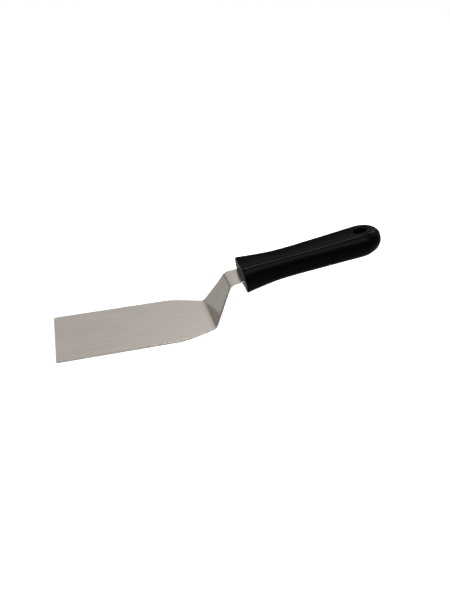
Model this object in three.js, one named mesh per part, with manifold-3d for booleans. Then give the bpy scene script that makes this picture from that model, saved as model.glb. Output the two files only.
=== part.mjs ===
// An offset spatula. One stainless steel pressing makes the blade, the steep crank and the
// tang, and a black plastic handle is moulded over the tang, so it can't come off.
// Millimetres, +Z up. The blade lies flat on Z = 0 and the handle points along +X.
// The origin is the middle of the blade's flat underside.
import * as THREE from "three";
import { mergeVertices } from "three/addons/utils/BufferGeometryUtils.js";
import Module from "manifold-3d";

const { degToRad } = THREE.MathUtils;

// ---- Driving dimensions ----

const SHEET = 1.5; // thickness of the steel
const GAP = 0.3; // clearance between the steel and the plastic round it

const blade = {
  flatLength: 126.2, // front edge to the start of the lower bend
  width: 60,
  shoulderStart: 94.2, // front edge to where the sides start to draw in
  shoulderRadius: 47,
  neckRadius: 70, // of the hollow curve that runs into the tang
  taper: degToRad(18), // each side's lean between those two curves
};

const crank = {
  angle: degToRad(63.8), // above the blade
  length: 31.3, // of the straight stretch between the two bends
  lowerRadius: 4, // inside radii of the bends
  upperRadius: 5,
};

const tang = {
  angle: degToRad(9), // above the blade, as the whole handle is
  width: 20.5, // where it shows
  tailWidth: 12, // inside the handle
  narrowStart: 13, // the three distances are from the end of the upper bend
  narrowEnd: 25,
  length: 97,
  tipChamfer: 2.5,
  holeRadius: 3,
  holes: [42, 72], // where plastic pegs pass through the tang
};

const handle = {
  start: 8.5, // end of the upper bend to the middle of the front face
  length: 126,
  frontRake: degToRad(3.3), // the top of the front face leans forward
  rakeLength: 30, // along the handle, over which that lean fades out
  frontRounding: 0.9,
  dish: 1.2, // how far the middle of the top lies below the ridges
  ridgeSetback: 2.2, // how far the ridge's rounding reaches on each side of it
  hipOut: 0.58, // place of the hip between the ridge and the side
  hipUp: 0.7, // and its share of the ridge's height
  hipSetback: 2,
  sideUp: 0.25, // share of the ridge's height where the side has become upright
  // Half sizes of the section, from the front face to where the butt begins.
  stations: [0, 10, 30, 70, 110],
  ridge: [10.1, 8.7, 7.1, 7.7, 8.1], // half width between the ridges of the top
  side: [16, 14.2, 12.2, 12.8, 14.2], // half width at mid height
  height: [12.8, 12.3, 11.1, 11.0, 11.8], // of the ridges
  // The butt is a superellipse in plan and a squarer one in side view.
  buttPlan: { length: 21, exponent: 2.2 },
  buttSide: { length: 25, exponent: 3.1 },
};

const hangHole = { length: 11.4, width: 8.6, fromButt: 18.5 };

const STEPS = {
  bend: 6,
  pattern: 4,
  section: 3,
  cylinder: 32,
  slotEnd: 6,
  front: 4,
  grip: 18,
  butt: 12,
};

// ---- Solids: joining and cutting ----

const wasm = await Module();
wasm.setup();

function solidFrom(geometry) {
  const bare = geometry.clone();
  bare.deleteAttribute("normal");
  bare.deleteAttribute("uv");
  const merged = mergeVertices(bare);
  return new wasm.Manifold(
    new wasm.Mesh({
      numProp: 3,
      vertProperties: merged.attributes.position.array,
      triVerts: new Uint32Array(merged.index.array),
    }),
  );
}

function geometryFrom(solid) {
  const { vertProperties, triVerts } = solid.getMesh();
  const indexed = new THREE.BufferGeometry();
  indexed.setAttribute("position", new THREE.BufferAttribute(vertProperties, 3));
  indexed.setIndex(new THREE.BufferAttribute(triVerts, 1));
  const faceted = indexed.toNonIndexed();
  faceted.computeVertexNormals();
  return faceted;
}

// A closed skin through rings of points that all have the same count, with flat ends.
function loft(rings) {
  const count = rings[0].length;
  const index = [];
  for (let ring = 0; ring + 1 < rings.length; ring++) {
    for (let i = 0; i < count; i++) {
      const a = ring * count + i;
      const b = ring * count + ((i + 1) % count);
      index.push(a, b, b + count, a, b + count, a + count);
    }
  }
  const last = (rings.length - 1) * count;
  for (let i = 1; i + 1 < count; i++) {
    index.push(0, i + 1, i);
    index.push(last, last + i, last + i + 1);
  }
  const skin = new THREE.BufferGeometry().setFromPoints(rings.flat());
  skin.setIndex(index);
  return skin;
}

function evenSteps(from, to, steps) {
  return Array.from({ length: steps + 1 }, (_, i) => from + ((to - from) * i) / steps);
}

// ---- The steel pressing ----

function bend(turn, insideRadius) {
  return { length: (insideRadius + SHEET / 2) * Math.abs(turn), turn };
}

// Straight and bent stretches, from the blade's front edge to the tang's tip.
const lowerBend = bend(crank.angle, crank.lowerRadius);
const upperBend = bend(tang.angle - crank.angle, crank.upperRadius);
const stretches = [
  { length: blade.flatLength, turn: 0 },
  lowerBend,
  { length: crank.length, turn: 0 },
  upperBend,
  { length: tang.length, turn: 0 },
];
const tangStart = blade.flatLength + lowerBend.length + crank.length + upperBend.length;
const tangTip = tangStart + tang.length;

// Place and slope of the sheet's middle at a distance along it from the front edge.
function sheetAt(distance) {
  const place = { x: -blade.flatLength / 2, z: SHEET / 2, slope: 0 };
  let left = distance;
  for (const { length, turn } of stretches) {
    const run = Math.min(left, length);
    const turned = (turn * run) / length;
    const chord = turn ? ((2 * length) / turn) * Math.sin(turned / 2) : run;
    place.x += chord * Math.cos(place.slope + turned / 2);
    place.z += chord * Math.sin(place.slope + turned / 2);
    place.slope += turned;
    left -= run;
  }
  return place;
}

// The tang's own frame: x along it from the end of the upper bend.
function tangAt(distance) {
  return { x: distance - tangStart, z: 0, slope: 0 };
}

// One side of the flat pattern: distance along the sheet against half width.
function flatPattern() {
  const { shoulderRadius, neckRadius, taper, shoulderStart } = blade;
  const bladeHalf = blade.width / 2;
  const tangHalf = tang.width / 2;
  const tailHalf = tang.tailWidth / 2;
  const radii = shoulderRadius + neckRadius;
  const flank = (bladeHalf - tangHalf - radii * (1 - Math.cos(taper))) / Math.sin(taper);
  const neckEnd = shoulderStart + radii * Math.sin(taper) + flank * Math.cos(taper);
  const up = Math.PI / 2;
  const down = 3 * up;

  const side = new THREE.Path();
  side.moveTo(0, bladeHalf);
  side.lineTo(shoulderStart, bladeHalf);
  side.absarc(shoulderStart, bladeHalf - shoulderRadius, shoulderRadius, up, up - taper, true);
  side.absarc(neckEnd, tangHalf + neckRadius, neckRadius, down - taper, down, false);
  side.lineTo(tangStart + tang.narrowStart, tangHalf);
  side.lineTo(tangStart + tang.narrowEnd, tailHalf);
  side.lineTo(tangTip - tang.tipChamfer, tailHalf);
  side.lineTo(tangTip, tailHalf - tang.tipChamfer);
  return side.getPoints(STEPS.pattern);
}

const pattern = flatPattern();

// Between two points of the pattern, or at its end where the distance is past it.
function halfWidthAt(distance) {
  const next = pattern.findIndex((point) => point.x >= distance);
  if (next <= 0) return pattern.at(next).y;
  const [a, b] = [pattern[next - 1], pattern[next]];
  return THREE.MathUtils.mapLinear(distance, a.x, b.x, a.y, b.y);
}

// Distances where the sheet needs a section: the pattern's points and steps round each bend.
const sectionDistances = [
  ...pattern.map((point) => point.x),
  ...evenSteps(blade.flatLength, blade.flatLength + lowerBend.length, STEPS.bend),
  ...evenSteps(tangStart - upperBend.length, tangStart, STEPS.bend),
];

// The sheet between two distances, with both faces and sides moved out by a clearance.
function sheetSolid(from, to, placeAt, clearance) {
  const inside = sectionDistances.filter((distance) => distance > from && distance < to);
  const distances = [...new Set([from, ...inside, to])].sort((a, b) => a - b);
  const half = SHEET / 2 + clearance;
  const rings = distances.map((distance) => {
    const { x, z, slope } = placeAt(distance);
    const across = halfWidthAt(distance) + clearance;
    const rise = new THREE.Vector3(-Math.sin(slope), 0, Math.cos(slope)).multiplyScalar(half);
    const corner = (y, side) => new THREE.Vector3(x, y, z).addScaledVector(rise, side);
    return [corner(-across, -1), corner(across, -1), corner(across, 1), corner(-across, 1)];
  });
  return solidFrom(loft(rings));
}

// Round bars through the tang's holes, in the tang's own frame.
function holeBars(radius) {
  return tang.holes.map((x) => {
    const bar = new THREE.CylinderGeometry(radius, radius, 4 * SHEET, STEPS.cylinder);
    bar.rotateX(Math.PI / 2);
    bar.translate(x, 0, 0);
    return bar;
  });
}

function bladeGeometry(tangPlace) {
  let pressing = sheetSolid(0, tangTip, sheetAt, 0);
  for (const bar of holeBars(tang.holeRadius)) {
    pressing = pressing.subtract(solidFrom(bar.applyMatrix4(tangPlace)));
  }
  return geometryFrom(pressing);
}

// ---- The moulded handle, in the tang's own frame ----

const gripProfile = new THREE.CubicInterpolant(
  handle.stations,
  handle.stations.flatMap((_, i) => [handle.ridge[i], handle.side[i], handle.height[i]]),
  3,
);

// How much of its full size a superellipse keeps this far along the handle.
function buttShare(along, { length, exponent }) {
  const into = Math.max(0, along - (handle.length - length)) / length;
  return (1 - into ** exponent) ** (1 / exponent);
}

// Half sizes of the section at a distance from the front face. At the butt the ridges draw
// in sooner than the sides do.
function gripAt(along) {
  const inGrip = Math.min(along, handle.stations.at(-1));
  const [ridge, side, height] = gripProfile.evaluate(inGrip);
  const wide = buttShare(along, handle.buttPlan);
  const tall = buttShare(along, handle.buttSide);
  const drawnIn = wide ** 2;
  const share = Math.min(drawnIn, tall);
  return { ridge: ridge * drawnIn, side: side * wide, height: height * tall, share };
}

function toward(start, end, length) {
  return end.clone().sub(start).setLength(length).add(start);
}

// The outline of a section: dished top and bottom, rounded ridges, then a facet and a hip.
function gripSection({ ridge, side, height, share }) {
  const { hipOut, hipUp, sideUp } = handle;
  const dish = handle.dish * share;
  const ridgeSetback = handle.ridgeSetback * share;
  const hipSetback = handle.hipSetback * share;
  const corner = new THREE.Vector2(ridge, height);
  const hip = new THREE.Vector2(ridge + (side - ridge) * hipOut, height * hipUp);
  const upright = new THREE.Vector2(side, height * sideUp);
  const topHalf = ridge - ridgeSetback;
  const topMiddle = height - dish;
  const topEdge = topMiddle + dish * (topHalf / ridge) ** 2;
  const ridgeEnd = toward(corner, hip, ridgeSetback);
  const hipStart = toward(hip, corner, hipSetback);
  const hipEnd = toward(hip, upright, hipSetback);

  const quarter = new THREE.Path();
  quarter.moveTo(0, topMiddle);
  quarter.quadraticCurveTo(topHalf / 2, topMiddle, topHalf, topEdge);
  quarter.quadraticCurveTo(corner.x, corner.y, ridgeEnd.x, ridgeEnd.y);
  quarter.lineTo(hipStart.x, hipStart.y);
  quarter.quadraticCurveTo(hip.x, hip.y, hipEnd.x, hipEnd.y);
  quarter.quadraticCurveTo(upright.x, upright.y, side, 0);
  const above = quarter.getPoints(STEPS.section);
  const below = above.slice(0, -1).reverse().map(({ x, y }) => new THREE.Vector2(x, -y));
  const right = [...above, ...below];
  const left = right.slice(1, -1).reverse().map(({ x, y }) => new THREE.Vector2(-x, y));
  return [...right, ...left];
}

function gripRing(along, scale, place) {
  const lean = Math.max(0, 1 - place / handle.rakeLength) * Math.tan(handle.frontRake);
  return gripSection(gripAt(along))
    .toReversed()
    .map(({ x, y }) => {
      const z = y * scale;
      return new THREE.Vector3(handle.start + place - z * lean, x * scale, z);
    });
}

// The flat front face, out from a ring near its middle, and its rounded edge.
function frontRings() {
  const innermost = 0.2;
  const flat = 1 - handle.frontRounding / handle.side[0];
  const rounding = evenSteps(0, Math.PI / 2, STEPS.front).map((angle) => {
    const place = handle.frontRounding * (1 - Math.cos(angle));
    return gripRing(place, flat + (1 - flat) * Math.sin(angle), place);
  });
  return [gripRing(0, innermost, 0), ...rounding];
}

function gripRings() {
  const gripStart = 2 * handle.frontRounding;
  const buttStart = handle.length - handle.buttSide.length;
  const buttEnd = 0.985 * (Math.PI / 2); // stops just short of a point
  const grip = evenSteps(gripStart, buttStart, STEPS.grip);
  const butt = evenSteps(0, buttEnd, STEPS.butt)
    .slice(1)
    .map((angle) => buttStart + handle.buttSide.length * Math.sin(angle));
  return [...grip, ...butt].map((along) => gripRing(along, 1, along));
}

// The space the tang fills, open at the front face and crossed by the locking pegs.
function tangCavity() {
  const mouth = tangStart + handle.start - handle.frontRounding;
  let cavity = sheetSolid(mouth, tangTip + GAP, tangAt, GAP);
  for (const peg of holeBars(tang.holeRadius - GAP)) {
    cavity = cavity.subtract(solidFrom(peg));
  }
  return cavity;
}

// A slot with round ends, straight through the handle's top and bottom.
function hangHoleBar() {
  const radius = hangHole.width / 2;
  const reach = hangHole.length / 2 - radius;
  const slot = new THREE.Shape();
  slot.absarc(reach, 0, radius, -Math.PI / 2, Math.PI / 2, false);
  slot.absarc(-reach, 0, radius, Math.PI / 2, (3 * Math.PI) / 2, false);
  const depth = 4 * handle.height[0];
  const bar = new THREE.ExtrudeGeometry(slot, {
    depth,
    bevelEnabled: false,
    curveSegments: STEPS.slotEnd,
  });
  bar.translate(handle.start + handle.length - hangHole.fromButt, 0, -depth / 2);
  return bar;
}

function handleGeometry() {
  const moulding = solidFrom(loft([...frontRings(), ...gripRings()]))
    .subtract(tangCavity())
    .subtract(solidFrom(hangHoleBar()));
  return geometryFrom(moulding);
}

// ---- Assembly ----

function piece(name, geometry, material) {
  const mesh = new THREE.Mesh(geometry, material);
  mesh.name = name;
  return mesh;
}

const steel = new THREE.MeshStandardMaterial({ color: 0xb2aba3, roughness: 0.35, metalness: 1 });
const plastic = new THREE.MeshStandardMaterial({ color: 0x151515, roughness: 0.42, metalness: 0 });

const tangRoot = sheetAt(tangStart);
const tangFrame = new THREE.Group();
tangFrame.position.set(tangRoot.x, 0, tangRoot.z);
tangFrame.rotation.y = -tang.angle;
tangFrame.updateMatrix();
tangFrame.add(piece("handle", handleGeometry(), plastic));

const offsetSpatula = new THREE.Group();
offsetSpatula.add(piece("blade", bladeGeometry(tangFrame.matrix), steel), tangFrame);

export default offsetSpatula;
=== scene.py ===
# An offset spatula: a stainless steel pressing with a black plastic handle moulded over its
# tang, lying on a white table under soft light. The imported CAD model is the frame: both
# pieces here take the place of its two solids. Dimensions are in millimetres.
import math
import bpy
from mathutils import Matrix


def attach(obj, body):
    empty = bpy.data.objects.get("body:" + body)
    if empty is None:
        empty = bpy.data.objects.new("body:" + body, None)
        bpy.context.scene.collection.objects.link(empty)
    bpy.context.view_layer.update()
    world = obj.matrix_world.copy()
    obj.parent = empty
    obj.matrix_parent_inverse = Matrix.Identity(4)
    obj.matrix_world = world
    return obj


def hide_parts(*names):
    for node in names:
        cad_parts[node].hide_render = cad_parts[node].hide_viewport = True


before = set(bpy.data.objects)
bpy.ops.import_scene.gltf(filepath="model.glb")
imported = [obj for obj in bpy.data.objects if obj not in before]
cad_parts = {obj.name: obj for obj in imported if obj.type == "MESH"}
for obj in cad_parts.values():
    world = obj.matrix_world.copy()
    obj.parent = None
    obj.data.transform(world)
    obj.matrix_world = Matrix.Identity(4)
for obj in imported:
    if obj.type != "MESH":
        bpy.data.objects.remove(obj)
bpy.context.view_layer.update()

from types import SimpleNamespace

import bmesh
import bpy
import numpy as np
from mathutils import Matrix, Vector

MM = 0.001  # metres in a millimetre

# ---- Driving dimensions, as in the CAD model ----

SHEET = 1.5  # thickness of the steel

blade = SimpleNamespace(
    flat_length=126.2,  # front edge to the start of the lower bend
    width=60,
    shoulder_start=94.2,  # front edge to where the sides start to draw in
    shoulder_radius=47,
    neck_radius=70,  # of the hollow curve that runs into the tang
    taper=math.radians(18),  # each side's lean between those two curves
    corner_radius=0.7,  # of the front corners
    edge_radius=0.22,  # of the sheet's tumbled edges
    worn_width=0.7,  # of the rim that use has dulled
)

crank = SimpleNamespace(
    angle=math.radians(63.8),  # above the blade
    length=31.3,  # of the straight stretch between the two bends
    lower_radius=4,  # inside radii of the bends
    upper_radius=5,
)

tang = SimpleNamespace(
    angle=math.radians(9),  # above the blade, as the whole handle is
    width=20.5,  # where it shows
    tail_width=12,  # inside the handle
    narrow_start=13,  # these distances are from the end of the upper bend
    narrow_end=25,
    length=97,
    tip_chamfer=2.5,
    hole_radius=3,
    holes=(42, 72),  # where plastic pegs pass through the tang
    gap=0.1,  # between the steel and the plastic moulded round it
)

handle = SimpleNamespace(
    start=8.5,  # end of the upper bend to the middle of the front face
    length=126,
    front_rake=math.radians(3.3),  # the top of the front face leans forward
    rake_length=30,  # along the handle, over which that lean fades out
    front_rounding=0.9,
    dish=1.2,  # how far the middle of the top lies below the ridges
    ridge_setback=2.2,  # how far the ridge's rounding reaches on each side of it
    hip_out=0.58,  # place of the hip between the ridge and the side
    hip_up=0.7,  # and its share of the ridge's height
    hip_setback=2,
    side_up=0.25,  # share of the ridge's height where the side has become upright
    # Half sizes of the section, from the front face to where the butt begins.
    stations=(0, 10, 30, 70, 110),
    ridge=(10.1, 8.7, 7.1, 7.7, 8.1),  # half width between the ridges of the top
    side=(16, 14.2, 12.2, 12.8, 14.2),  # half width at mid height
    height=(12.8, 12.3, 11.1, 11.0, 11.8),  # of the ridges
    # The butt is a superellipse in plan and a squarer one in side view.
    butt_plan=SimpleNamespace(length=21, exponent=2.2),
    butt_side=SimpleNamespace(length=25, exponent=3.1),
)

hang_hole = SimpleNamespace(
    length=11.4,
    width=8.6,
    from_butt=18.5,
    rim_radius=1,
    margin=1,  # of the top's own mesh round the rim
)

# ---- Fineness of the meshes ----

CORNER_STEPS = 5  # round each front corner of the blade
BEND_STEPS = 12
SHEET_COLUMNS = 12
HOLE_COLUMNS = 4  # on each side of the middle, taken up by an anchor hole and its surround
ROUNDING_STEPS = 6  # round the edge of the front face and the rim of the hang hole
GRIP_STEPS = 64
BUTT_STEPS = 34
TOP_COLUMNS = 6  # from the middle of the top to where the ridge starts to round over
RIDGE_COLUMNS = 6
FACET_COLUMNS = 2
HIP_COLUMNS = 5
SIDE_COLUMNS = 6

CREASE = math.radians(40)  # sharper edges than this are real edges

# ---- Mesh helpers ----


def even(start, end, steps):
    """Evenly spaced values from start to end, both included."""
    return [start + (end - start) * i / steps for i in range(steps + 1)]


def grid_faces(bm, grid, closed, holes=()):
    """Quads between the rows of a grid, apart from the cells that a hole's block takes up."""
    for row, (lower, upper) in enumerate(zip(grid, grid[1:])):
        count = len(lower)
        for column in range(count if closed else count - 1):
            if any(is_in(block, row, column, count) for block in holes):
                continue
            after = (column + 1) % count
            bm.faces.new((lower[column], lower[after], upper[after], upper[column]))


def is_in(block, row, column, count):
    """True for a cell of a block, whose columns may start below zero on a closed grid."""
    in_columns = (column - block.first_column) % count < block.last_column - block.first_column
    return block.first_row <= row < block.last_row and in_columns


def outline(block):
    """The places (row, column) round a block of a grid, in order."""
    rows = range(block.first_row, block.last_row)
    columns = range(block.first_column, block.last_column)
    places = [(block.first_row, column) for column in columns]
    places += [(row, block.last_column) for row in rows]
    places += [(block.last_row, column + 1) for column in reversed(columns)]
    places += [(row + 1, block.first_column) for row in reversed(rows)]
    return places


def bridge(bm, loop, following):
    """Quads between two closed loops of the same number of vertices."""
    for i in range(len(loop)):
        bm.faces.new((loop[i - 1], loop[i], following[i], following[i - 1]))


def slot_edge(x, y, reach, radius):
    """The place on a slot's outline that faces (x, y); the slot is centred on the origin."""
    core = max(-reach, min(reach, x))
    away = Vector((x - core, y)).normalized() * radius
    return core + away.x, away.y


def finish_mesh(bm, name, material):
    """The mesh as an object, with loose vertices gone and all faces pointing out."""
    loose = [vert for vert in bm.verts if not vert.link_faces]
    bmesh.ops.delete(bm, geom=loose, context="VERTS")
    bmesh.ops.recalc_face_normals(bm, faces=bm.faces)
    mesh = bpy.data.meshes.new(name)
    bm.to_mesh(mesh)
    bm.free()
    mesh.shade_smooth()
    mesh.materials.append(material)
    piece = bpy.data.objects.new(name, mesh)
    bpy.context.scene.collection.objects.link(piece)
    return piece


def apply_modifiers(piece):
    """Makes what the modifiers show into the piece's own mesh."""
    depsgraph = bpy.context.evaluated_depsgraph_get()
    shaped = bpy.data.meshes.new_from_object(piece.evaluated_get(depsgraph))
    piece.modifiers.clear()
    piece.data = shaped


def cut(piece, cutter):
    """Takes the cutter's solid out of a piece and deletes the cutter."""
    boolean = piece.modifiers.new("cut", "BOOLEAN")
    boolean.operation = "DIFFERENCE"
    boolean.solver = "EXACT"
    boolean.object = cutter
    apply_modifiers(piece)
    bpy.data.objects.remove(cutter)


# ---- The steel pressing ----


def stretch(length, turn=0.0):
    """A stretch of the sheet with an even bend of this many radians along it."""
    return SimpleNamespace(length=length, turn=turn)


def bend(turn, inside_radius):
    return stretch((inside_radius + SHEET / 2) * abs(turn), turn)


# Straight and bent stretches, from the blade's front edge to the tang's tip.
lower_bend = bend(crank.angle, crank.lower_radius)
upper_bend = bend(tang.angle - crank.angle, crank.upper_radius)
stretches = (
    stretch(blade.flat_length),
    lower_bend,
    stretch(crank.length),
    upper_bend,
    stretch(tang.length),
)
tang_start = blade.flat_length + lower_bend.length + crank.length + upper_bend.length
tang_tip = tang_start + tang.length


def sheet_at(distance):
    """Place of the sheet's middle at a distance along it from the front edge."""
    x, z, slope = -blade.flat_length / 2, SHEET / 2, 0.0
    for part in stretches:
        run = min(distance, part.length)
        turned = part.turn * run / part.length
        chord = 2 * part.length / part.turn * math.sin(turned / 2) if part.turn else run
        x += chord * math.cos(slope + turned / 2)
        z += chord * math.sin(slope + turned / 2)
        slope += turned
        distance -= run
    return x, z


def arc_fall(into, radius):
    """How far an arc has fallen this far into it, from where it runs level."""
    return radius - math.sqrt(radius**2 - into**2)


# Places where one side of the flat pattern changes from one curve to the next.
half_blade, half_tang, half_tail = blade.width / 2, tang.width / 2, tang.tail_width / 2
curves_fall = (blade.shoulder_radius + blade.neck_radius) * (1 - math.cos(blade.taper))
flank = (half_blade - half_tang - curves_fall) / math.sin(blade.taper)
flank_start = blade.shoulder_start + blade.shoulder_radius * math.sin(blade.taper)
neck_start = flank_start + flank * math.cos(blade.taper)
neck_end = neck_start + blade.neck_radius * math.sin(blade.taper)
pattern_knots = (
    (tang_start + tang.narrow_start, half_tang),
    (tang_start + tang.narrow_end, half_tail),
    (tang_tip - tang.tip_chamfer, half_tail),
    (tang_tip, half_tail - tang.tip_chamfer),
)


def half_width(distance):
    """Half width of the flat pattern at a distance from the front edge."""
    if distance < blade.corner_radius:
        return half_blade - arc_fall(blade.corner_radius - distance, blade.corner_radius)
    if distance < blade.shoulder_start:
        return half_blade
    if distance < flank_start:
        return half_blade - arc_fall(distance - blade.shoulder_start, blade.shoulder_radius)
    if distance < neck_start:
        fall = arc_fall(flank_start - blade.shoulder_start, blade.shoulder_radius)
        return half_blade - fall - (distance - flank_start) * math.tan(blade.taper)
    if distance < neck_end:
        return half_tang + arc_fall(neck_end - distance, blade.neck_radius)
    return float(np.interp(distance, *zip(*pattern_knots)))


def sheet_distances():
    """Where the sheet's mesh has rows: closer at the corners, in the curves and in the bends."""
    radius = blade.corner_radius
    corner = even(0, math.pi / 2, CORNER_STEPS)
    distances = [radius * (1 - math.cos(angle)) for angle in corner]
    # Where each stretch of rows ends, and how many steps it takes.
    ends_and_steps = (
        (blade.shoulder_start, 30),
        (blade.flat_length, 22),
        (blade.flat_length + lower_bend.length, BEND_STEPS),
        (tang_start - upper_bend.length, 22),
        (tang_start, BEND_STEPS),
        (tang_start + tang.narrow_start, 8),
        (tang_start + tang.narrow_end, 8),
        (tang_tip - tang.tip_chamfer, 70),  # close enough for the anchor holes
        (tang_tip, 1),
    )
    for end, steps in ends_and_steps:
        distances += even(distances[-1], end, steps)[1:]
    return distances


def hole_block(distances, hole):
    """The cells of the sheet's grid round one anchor hole."""
    reach = half_tail * HOLE_COLUMNS / (SHEET_COLUMNS / 2)
    near = [i for i, distance in enumerate(distances) if abs(distance - hole) <= reach]
    middle = SHEET_COLUMNS // 2
    return SimpleNamespace(
        first_row=near[0],
        last_row=near[-1],
        first_column=middle - HOLE_COLUMNS,
        last_column=middle + HOLE_COLUMNS,
    )


def sheet_solid(name, distances, clearance, material):
    """The sheet between two distances, with its faces and sides moved out by a clearance."""
    bm = bmesh.new()
    edge_distance = bm.verts.layers.float.new("edge_distance")
    developed = bm.loops.layers.uv.new("developed")
    flat_place = {}

    def point(distance, across):
        x, z = sheet_at(distance)
        vert = bm.verts.new((x * MM, across * MM, z * MM))
        from_side = half_width(distance) + clearance - abs(across)
        vert[edge_distance] = min(from_side, distance) * MM
        flat_place[vert] = (distance * MM, across * MM)
        return vert

    shares = even(-1, 1, SHEET_COLUMNS)
    halves = [half_width(distance) + clearance for distance in distances]
    grid = [[point(d, half * share) for share in shares] for d, half in zip(distances, halves)]
    holes = [tang_start + hole for hole in tang.holes]
    blocks = [hole_block(distances, hole) for hole in holes]
    grid_faces(bm, grid, closed=False, holes=blocks)
    for hole, block in zip(holes, blocks):
        loop = [grid[row][column] for row, column in outline(block)]
        flat = [(flat_place[vert][0] / MM - hole, flat_place[vert][1] / MM) for vert in loop]
        rim = [slot_edge(x, y, 0, tang.hole_radius - clearance) for x, y in flat]
        bridge(bm, loop, [point(hole + x, y) for x, y in rim])
    for face in bm.faces:
        for corner in face.loops:
            corner[developed].uv = flat_place[corner.vert]

    solid = finish_mesh(bm, name, material)
    thicken = solid.modifiers.new("sheet thickness", "SOLIDIFY")
    thicken.thickness = (SHEET + 2 * clearance) * MM
    thicken.offset = 0
    return solid


def steel_pressing():
    """The blade, crank and tang in one piece, with tumbled edges."""
    pressing = sheet_solid("steel_blade", sheet_distances(), 0, steel_material())
    tumbled = pressing.modifiers.new("tumbled edges", "BEVEL")
    tumbled.width = blade.edge_radius * MM
    tumbled.segments = 3
    tumbled.limit_method = "ANGLE"
    tumbled.angle_limit = CREASE
    tumbled.harden_normals = True
    return pressing


# ---- The moulded handle, in the tang's own frame ----

tang_root_x, tang_root_z = sheet_at(tang_start)
tang_frame = (
    Matrix.Scale(MM, 4)
    @ Matrix.Translation((tang_root_x, 0, tang_root_z))
    @ Matrix.Rotation(-tang.angle, 4, "Y")
)


def grip_profile(values, along):
    """A smooth curve through the stations; its slope at each is the mean of the two chords'."""
    stations = np.array(handle.stations, float)
    chords = np.diff(values) / np.diff(stations)
    slopes = (np.append(chords[0], chords) + np.append(chords, chords[-1])) / 2
    i = min(np.searchsorted(stations, along, side="right"), len(stations) - 1) - 1
    step = stations[i + 1] - stations[i]
    t = (along - stations[i]) / step
    start = (1 + 2 * t) * values[i] + t * step * slopes[i]
    end = (3 - 2 * t) * values[i + 1] + (t - 1) * step * slopes[i + 1]
    return float((1 - t) ** 2 * start + t**2 * end)


def butt_share(along, butt):
    """How much of its full size a superellipse keeps this far along the handle."""
    into = max(0, along - (handle.length - butt.length)) / butt.length
    return (1 - into**butt.exponent) ** (1 / butt.exponent)


def grip_at(along):
    """Half sizes of the section; the ridges draw in at the butt sooner than the sides do."""
    in_grip = min(along, handle.stations[-1])
    wide = butt_share(along, handle.butt_plan)
    tall = butt_share(along, handle.butt_side)
    drawn_in = wide**2
    return SimpleNamespace(
        ridge=grip_profile(handle.ridge, in_grip) * drawn_in,
        side=grip_profile(handle.side, in_grip) * wide,
        height=grip_profile(handle.height, in_grip) * tall,
        share=min(drawn_in, tall),
    )


def top_height(along, across):
    """Height of the dished top above the tang's middle, at a distance from the centre line."""
    size = grip_at(along)
    return size.height - handle.dish * size.share * (1 - (across / size.ridge) ** 2)


def curve(start, control, end, steps):
    """Points of a quadratic curve, without its first, each with its share of the way."""
    shares = even(0, 1, steps)[1:]
    points = [
        start * (1 - t) ** 2 + control * (2 * t * (1 - t)) + end * t**2 for t in shares
    ]
    return list(zip(points, shares))


def toward(start, end, length):
    return start + (end - start).normalized() * length


def grip_section(along):
    """A ring of (y, z, ridge) round the section, from the middle of its top.

    ridge is 1 on the crest of the rounded ridge and 0 away from it.
    """
    size = grip_at(along)
    corner = Vector((size.ridge, size.height))
    hip_out = size.ridge + (size.side - size.ridge) * handle.hip_out
    hip = Vector((hip_out, size.height * handle.hip_up))
    upright = Vector((size.side, size.height * handle.side_up))
    top_width = size.ridge - handle.ridge_setback * size.share
    across = even(0, top_width, TOP_COLUMNS)
    top = [Vector((y, top_height(along, y))) for y in across]
    ridge_end = toward(corner, hip, handle.ridge_setback * size.share)
    hip_start = toward(hip, corner, handle.hip_setback * size.share)
    hip_end = toward(hip, upright, handle.hip_setback * size.share)

    quarter = [(p.x, p.y, 0) for p in top]
    ridge = curve(top[-1], corner, ridge_end, RIDGE_COLUMNS)
    # The crest's mark drives the plastic's polish and its painted highlight along the ridge.
    quarter += [(p.x, p.y, 4 * t * (1 - t)) for p, t in ridge]
    below = [(ridge_end.lerp(hip_start, t), t) for t in even(0, 1, FACET_COLUMNS)[1:]]
    below += curve(hip_start, hip, hip_end, HIP_COLUMNS)
    below += curve(hip_end, upright, Vector((size.side, 0)), SIDE_COLUMNS)
    quarter += [(p.x, p.y, 0) for p, _ in below]
    right = quarter + [(y, -z, crest) for y, z, crest in reversed(quarter[:-1])]
    return right + [(-y, z, crest) for y, z, crest in reversed(right[1:-1])]


def front_rings():
    """(place, scale, along) of each ring of the rounded edge of the flat front face."""
    flat = 1 - handle.front_rounding / handle.side[0]
    rings = []
    for angle in even(0, math.pi / 2, ROUNDING_STEPS):
        place = handle.front_rounding * (1 - math.cos(angle))
        rings.append((place, flat + (1 - flat) * math.sin(angle), place))
    return rings


def grip_rings():
    """(place, scale, along) of each ring from behind the front face's edge to the butt's end."""
    grip_start = 2 * handle.front_rounding
    butt_start = handle.length - handle.butt_side.length
    butt_end = 0.997 * math.pi / 2  # stops just short of a point
    grip = even(grip_start, butt_start, GRIP_STEPS)
    angles = even(0, butt_end, BUTT_STEPS)[1:]
    butt = [butt_start + handle.butt_side.length * math.sin(angle) for angle in angles]
    return [(along, 1, along) for along in grip + butt]


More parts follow.
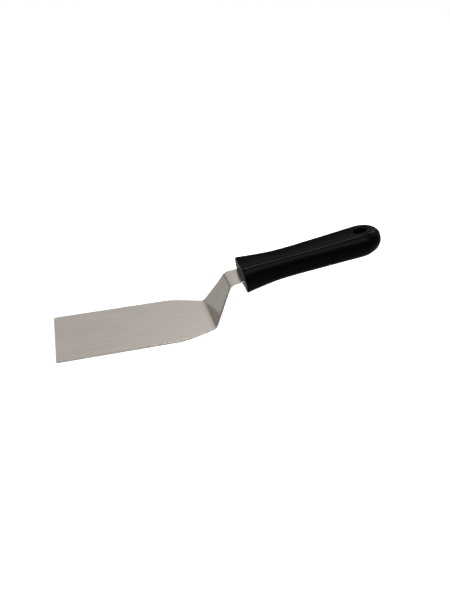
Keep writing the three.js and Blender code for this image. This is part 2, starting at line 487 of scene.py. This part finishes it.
def hang_hole_loops(bm, outer, crest, side):
    """Loops of the hang hole's rounded rim, from the top's mesh (side 1) or the bottom's (-1)."""
    radius = hang_hole.width / 2
    reach = hang_hole.length / 2 - radius
    centre = handle.start + handle.length - hang_hole.from_butt
    to_tang_frame = tang_frame.inverted()
    places = [to_tang_frame @ vert.co for vert in outer]
    loops = []
    for angle in even(0, math.pi / 2, ROUNDING_STEPS):
        offset = hang_hole.rim_radius * (1 - math.sin(angle))
        depth = hang_hole.rim_radius * (1 - math.cos(angle))
        loop = []
        for place in places:
            x, y = slot_edge(place.x - centre, place.y, reach, radius + offset)
            height = top_height(centre + x - handle.start, y) - depth
            vert = bm.verts.new(tang_frame @ Vector((centre + x, y, side * height)))
            # Marks the middle of the rim, where the plastic is polished and lightened by a
            # painted highlight.
            vert[crest] = math.sin(2 * angle)
            loop.append(vert)
        loops.append(loop)
    return loops


def handle_shell(material):
    """The moulding's whole outside and its hang hole, with no cavity yet."""
    bm = bmesh.new()
    crest = bm.verts.layers.float.new("ridge")
    rings = front_rings() + grip_rings()
    grid = []
    for place, scale, along in rings:
        ring = []
        for y, z, on_crest in grip_section(along):
            lean = max(0, 1 - place / handle.rake_length) * math.tan(handle.front_rake)
            x = handle.start + place - z * scale * lean
            where = Vector((x, y * scale, z * scale))
            vert = bm.verts.new(tang_frame @ where)
            vert[crest] = on_crest
            ring.append(vert)
        grid.append(ring)

    # Blocks of the flat top and bottom, from one ridge to the other, make way for the hole.
    reach = hang_hole.length / 2 + hang_hole.rim_radius + hang_hole.margin
    centre = handle.length - hang_hole.from_butt
    near = [i for i, (place, _, _) in enumerate(rings) if abs(place - centre) <= reach]
    half_ring = len(grid[0]) // 2
    blocks = [
        SimpleNamespace(
            first_row=near[0],
            last_row=near[-1],
            first_column=middle - TOP_COLUMNS,
            last_column=middle + TOP_COLUMNS,
        )
        for middle in (0, half_ring)
    ]
    grid_faces(bm, grid, closed=True, holes=blocks)
    bm.faces.new(grid[0])
    bm.faces.new(grid[-1])

    # Each ring is the same above and below, so the bottom's loop lies straight under the top's.
    places = outline(blocks[0])
    top = [grid[row][column] for row, column in places]
    bottom = [grid[row][half_ring - column] for row, column in places]
    loops = [
        top,
        *hang_hole_loops(bm, top, crest, 1),
        *reversed(hang_hole_loops(bm, bottom, crest, -1)),
        bottom,
    ]
    for loop, following in zip(loops, loops[1:]):
        bridge(bm, loop, following)
    return finish_mesh(bm, "moulded_handle", material)


def moulded_handle():
    """The handle, with the tang's cavity and the pegs that cross it."""
    material = plastic_material()
    moulding = handle_shell(material)
    mouth = tang_start + handle.start - handle.front_rounding
    inside = [distance for distance in sheet_distances() if distance > mouth]
    cavity = sheet_solid("cavity", [mouth, *inside, tang_tip + tang.gap], tang.gap, material)
    cut(moulding, cavity)
    moulding.data.set_sharp_from_angle(angle=CREASE)
    return moulding


# ---- Materials ----


def node(tree, kind, inputs=None, **settings):
    """A node with its settings made and its inputs set or linked."""
    made = tree.nodes.new(kind)
    for name, value in settings.items():
        setattr(made, name, value)
    for name, value in (inputs or {}).items():
        if isinstance(value, bpy.types.NodeSocket):
            tree.links.new(value, made.inputs[name])
        else:
            made.inputs[name].default_value = value
    return made


def noise(tree, vector, scale, detail=2.0, roughness=0.5):
    inputs = {"Vector": vector, "Scale": scale, "Detail": detail, "Roughness": roughness}
    return node(tree, "ShaderNodeTexNoise", inputs).outputs["Fac"]


def remap(tree, value, low, high, to_low, to_high):
    inputs = {
        "Value": value,
        "From Min": low,
        "From Max": high,
        "To Min": to_low,
        "To Max": to_high,
    }
    return node(tree, "ShaderNodeMapRange", inputs).outputs["Result"]


def math_node(tree, operation, first, second):
    inputs = {0: first, 1: second}
    return node(tree, "ShaderNodeMath", inputs, operation=operation).outputs["Value"]


def weighted_sum(tree, *terms):
    """The sum of (value, weight) terms."""
    total = None
    for value, weight in terms:
        term = math_node(tree, "MULTIPLY", value, weight)
        total = term if total is None else math_node(tree, "ADD", total, term)
    return total


def scaled(tree, vector, scale):
    return node(tree, "ShaderNodeMapping", {"Vector": vector, "Scale": scale}).outputs["Vector"]


def ramp(tree, factor, stops):
    """Colours (r, g, b) at places from 0 to 1."""
    made = node(tree, "ShaderNodeValToRGB", {"Fac": factor})
    elements = made.color_ramp.elements
    while len(elements) < len(stops):
        elements.new(0.5)
    for element, (place, colour) in zip(elements, stops):
        element.position = place
        element.color = (*colour, 1)
    return made.outputs["Color"]


def mixed(tree, share, first, second):
    inputs = {"Fac": share, "Color1": first, "Color2": second}
    return node(tree, "ShaderNodeMixRGB", inputs).outputs["Color"]


def new_material(name):
    material = bpy.data.materials.new(name)
    material.use_nodes = True
    material.node_tree.nodes.clear()
    return material, material.node_tree


def output(tree, shader):
    node(tree, "ShaderNodeOutputMaterial", {"Surface": shader.outputs[0]})


def bumped(tree, height, strength, distance, normal=None):
    inputs = {"Height": height, "Strength": strength, "Distance": distance * MM}
    if normal:
        inputs["Normal"] = normal
    return node(tree, "ShaderNodeBump", inputs).outputs["Normal"]


def steel_material():
    """Satin stainless steel, brushed along the blade, with paler and duller worn edges."""
    material, tree = new_material("brushed_steel")
    place = node(tree, "ShaderNodeUVMap", uv_map="developed").outputs["UV"]
    # Each scale is in cycles to a metre, along the sheet and across it.
    hairlines = noise(tree, scaled(tree, place, (45, 4200, 1)), 1, detail=3)
    streaks = noise(tree, scaled(tree, place, (14, 750, 1)), 1, detail=3)
    clouds = noise(tree, scaled(tree, place, (22, 45, 1)), 1, detail=2)

    rim = node(tree, "ShaderNodeAttribute", attribute_name="edge_distance").outputs["Fac"]
    nicks = noise(tree, scaled(tree, place, (260, 260, 1)), 1, detail=4)
    near_edge = remap(tree, rim, 0, blade.worn_width * MM, 1, 0)
    wear = math_node(tree, "MULTIPLY", near_edge, remap(tree, nicks, 0.35, 0.65, 0.2, 1))

    tone = weighted_sum(tree, (streaks, 0.45), (hairlines, 0.25), (clouds, 0.3))
    worn_tone = math_node(tree, "ADD", tone, math_node(tree, "MULTIPLY", wear, 0.12))
    dark, pale = (0.535, 0.491, 0.442), (0.685, 0.628, 0.566)
    colour = ramp(tree, worn_tone, [(0.3, dark), (0.7, pale)])

    grain_roughness = remap(tree, tone, 0.3, 0.7, 0.23, 0.17)
    roughness = math_node(tree, "ADD", grain_roughness, math_node(tree, "MULTIPLY", wear, 0.15))
    normal = bumped(tree, hairlines, 0.12, 0.01)
    normal = bumped(tree, streaks, 0.1, 0.02, normal)
    # Grooves along the blade spread reflections across it.
    grain = node(tree, "ShaderNodeTangent", direction_type="UV_MAP", uv_map="developed")
    shader = node(
        tree,
        "ShaderNodeBsdfPrincipled",
        {
            "Base Color": colour,
            "Metallic": 1,
            "Roughness": roughness,
            "Anisotropic": 0.8,
            "Anisotropic Rotation": 0.25,
            "Tangent": grain.outputs["Tangent"],
            "Normal": normal,
        },
    )
    output(tree, shader)
    return material


def plastic_material():
    """Black moulded plastic: a fine spark-eroded grain, polished where a hand rubs it and
    lightened there by a painted highlight.
    """
    material, tree = new_material("black_plastic")
    place = node(tree, "ShaderNodeTexCoord").outputs["Object"]
    grain = noise(tree, place, 2600, detail=3, roughness=0.6)
    mottle = noise(tree, place, 420, detail=3)
    clouds = noise(tree, place, 45, detail=3)
    crest = node(tree, "ShaderNodeAttribute", attribute_name="ridge").outputs["Fac"]
    # Along the crests of the ridges and of the hang hole's rim: a rubbed polish, and partly a
    # painted highlight that lightens the colour.
    rub_and_painted_highlight = math_node(tree, "MULTIPLY", crest, remap(tree, clouds, 0.3, 0.7, 0.4, 1))

    tone = weighted_sum(tree, (clouds, 0.6), (mottle, 0.4), (rub_and_painted_highlight, 0.15))
    black, off_black = (0.0006, 0.0006, 0.0006), (0.0014, 0.0014, 0.0014)
    colour = ramp(tree, tone, [(0.3, black), (0.8, off_black)])
    satin = remap(tree, tone, 0.3, 0.7, 0.36, 0.3)
    roughness = math_node(tree, "SUBTRACT", satin, math_node(tree, "MULTIPLY", rub_and_painted_highlight, 0.06))
    normal = bumped(tree, grain, 0.16, 0.02)
    shader = node(
        tree,
        "ShaderNodeBsdfPrincipled",
        {
            "Base Color": colour,
            "Roughness": roughness,
            "Specular IOR Level": 0.03,
            "Normal": normal,
        },
    )
    output(tree, shader)
    return material


def floor_material():
    """Plain white table top that glows a little, painted light that leaves only the softest
    shadow on it.
    """
    material, tree = new_material("white_table")
    shader = node(
        tree,
        "ShaderNodeBsdfPrincipled",
        {
            "Base Color": (0.7, 0.7, 0.7, 1),
            "Roughness": 0.9,
            "Specular IOR Level": 0.0,
            # The glow is painted light that fills in the table's shadow.
            "Emission Color": (1, 1, 1, 1),
            "Emission Strength": 0.62,
        },
    )
    output(tree, shader)
    return material


# ---- Stage, light and camera ----

table = SimpleNamespace(
    radius=6000,
    segments=96,
    drop=0.2,  # of its top below the blade's underside
)

viewpoint = SimpleNamespace(
    azimuth=math.radians(-15.507),  # from straight in front of the near side
    elevation=math.radians(34.335),
    aim=(79.8, 0, 13.3),  # the point looked at
    distance=485.3,
    lens=34.116,
)


def floor():
    """A wide round table top, just below the blade's underside."""
    bm = bmesh.new()
    radius = table.radius * MM
    bmesh.ops.create_circle(bm, cap_ends=True, segments=table.segments, radius=radius)
    bmesh.ops.translate(bm, verts=bm.verts, vec=(0, 0, -table.drop * MM))
    top = finish_mesh(bm, "table_top", floor_material())
    top.visible_glossy = False


# Grey levels of the studio's walls against the height of the direction, from -1 to 1.
WALL_BEHIND = [(-1, 0.3), (-0.6, 0.8), (-0.3, 0.55), (-0.1, 0.53), (0.08, 0.26), (0.18, 0.24)]
WALL_BEHIND += [(0.32, 0.7), (0.6, 0.72), (1, 0.72)]
WALL_IN_FRONT = [(-1, 0.3), (-0.75, 0.4), (-0.56, 0.75), (-0.4, 0.9), (-0.12, 0.03)]
WALL_IN_FRONT += [(0.35, 0.03), (0.65, 0.6), (0.78, 0.6), (0.9, 0.5), (1, 0.72)]
SEAM = 0.15  # half the width over which one wall turns into the other
BACKDROP = (0.95, 0.95, 0.95, 1)  # what the camera sees behind the table


def wall(tree, height, levels):
    """A wall's colour at a height that runs from 0 straight down to 1 straight up."""
    stops = [((z + 1) / 2, (grey, grey, grey)) for z, grey in levels]
    return ramp(tree, height, stops)


def studio():
    """Soft light from all round, apart from a dark stretch in front at eye level and above it.

    Seen directly, the studio is plain and pale.
    """
    world = bpy.data.worlds.new("studio")
    world.use_nodes = True
    tree = world.node_tree
    tree.nodes.clear()
    direction = node(tree, "ShaderNodeTexCoord").outputs["Generated"]
    parts = node(tree, "ShaderNodeSeparateXYZ", {"Vector": direction}).outputs
    height = remap(tree, parts["Z"], -1, 1, 0, 1)
    front = wall(tree, height, WALL_IN_FRONT)
    behind = wall(tree, height, WALL_BEHIND)
    share = remap(tree, parts["Y"], -SEAM, SEAM, 0, 1)
    walls = mixed(tree, share, front, behind)
    seen_directly = node(tree, "ShaderNodeLightPath").outputs["Is Camera Ray"]
    colour = mixed(tree, seen_directly, walls, BACKDROP)
    background = node(tree, "ShaderNodeBackground", {"Color": colour, "Strength": 0.9})
    node(tree, "ShaderNodeOutputWorld", {"Surface": background.outputs[0]})
    bpy.context.scene.world = world


def softbox(name, place, aim, width, depth, radiance):
    """A rectangular area light, in metres; radiance is how bright its face looks."""
    light = bpy.data.lights.new(name, "AREA")
    light.shape = "RECTANGLE"
    light.size = width
    light.size_y = depth
    light.energy = radiance * math.pi * width * depth
    lamp = bpy.data.objects.new(name, light)
    lamp.location = place
    lamp.rotation_euler = (Vector(aim) - Vector(place)).to_track_quat("-Z", "Y").to_euler()
    bpy.context.scene.collection.objects.link(lamp)


def camera():
    """The camera at the viewpoint, turned to the point that it looks at."""
    azimuth, elevation = viewpoint.azimuth, viewpoint.elevation
    level = math.cos(elevation)
    back = Vector((math.sin(azimuth) * level, -math.cos(azimuth) * level, math.sin(elevation)))
    data = bpy.data.cameras.new("camera")
    data.sensor_width = 36
    data.lens = viewpoint.lens
    data.clip_start = 0.01
    view = bpy.data.objects.new("camera", data)
    view.location = Vector(viewpoint.aim) * MM + back * (viewpoint.distance * MM)
    view.rotation_euler = back.to_track_quat("Z", "Y").to_euler()
    bpy.context.scene.collection.objects.link(view)
    bpy.context.scene.camera = view


# ---- Assembly ----

steel_blade = steel_pressing()
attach(steel_blade, "root")
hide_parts("blade")

plastic_handle = moulded_handle()
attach(plastic_handle, "root")
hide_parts("handle")

floor()
studio()
softbox("overhead", (0.26, 0, 0.9), (0.15, 0, 0), width=0.4, depth=0.32, radiance=16)
softbox("front", (0.33, -0.69, 0.59), (0.15, 0, 0.04), width=0.5, depth=0.2, radiance=10)
softbox("right", (0.8, 0.18, 0.66), (0.2, 0, 0.05), width=0.35, depth=0.35, radiance=10)
camera()
bpy.context.scene.view_settings.view_transform = "Standard"
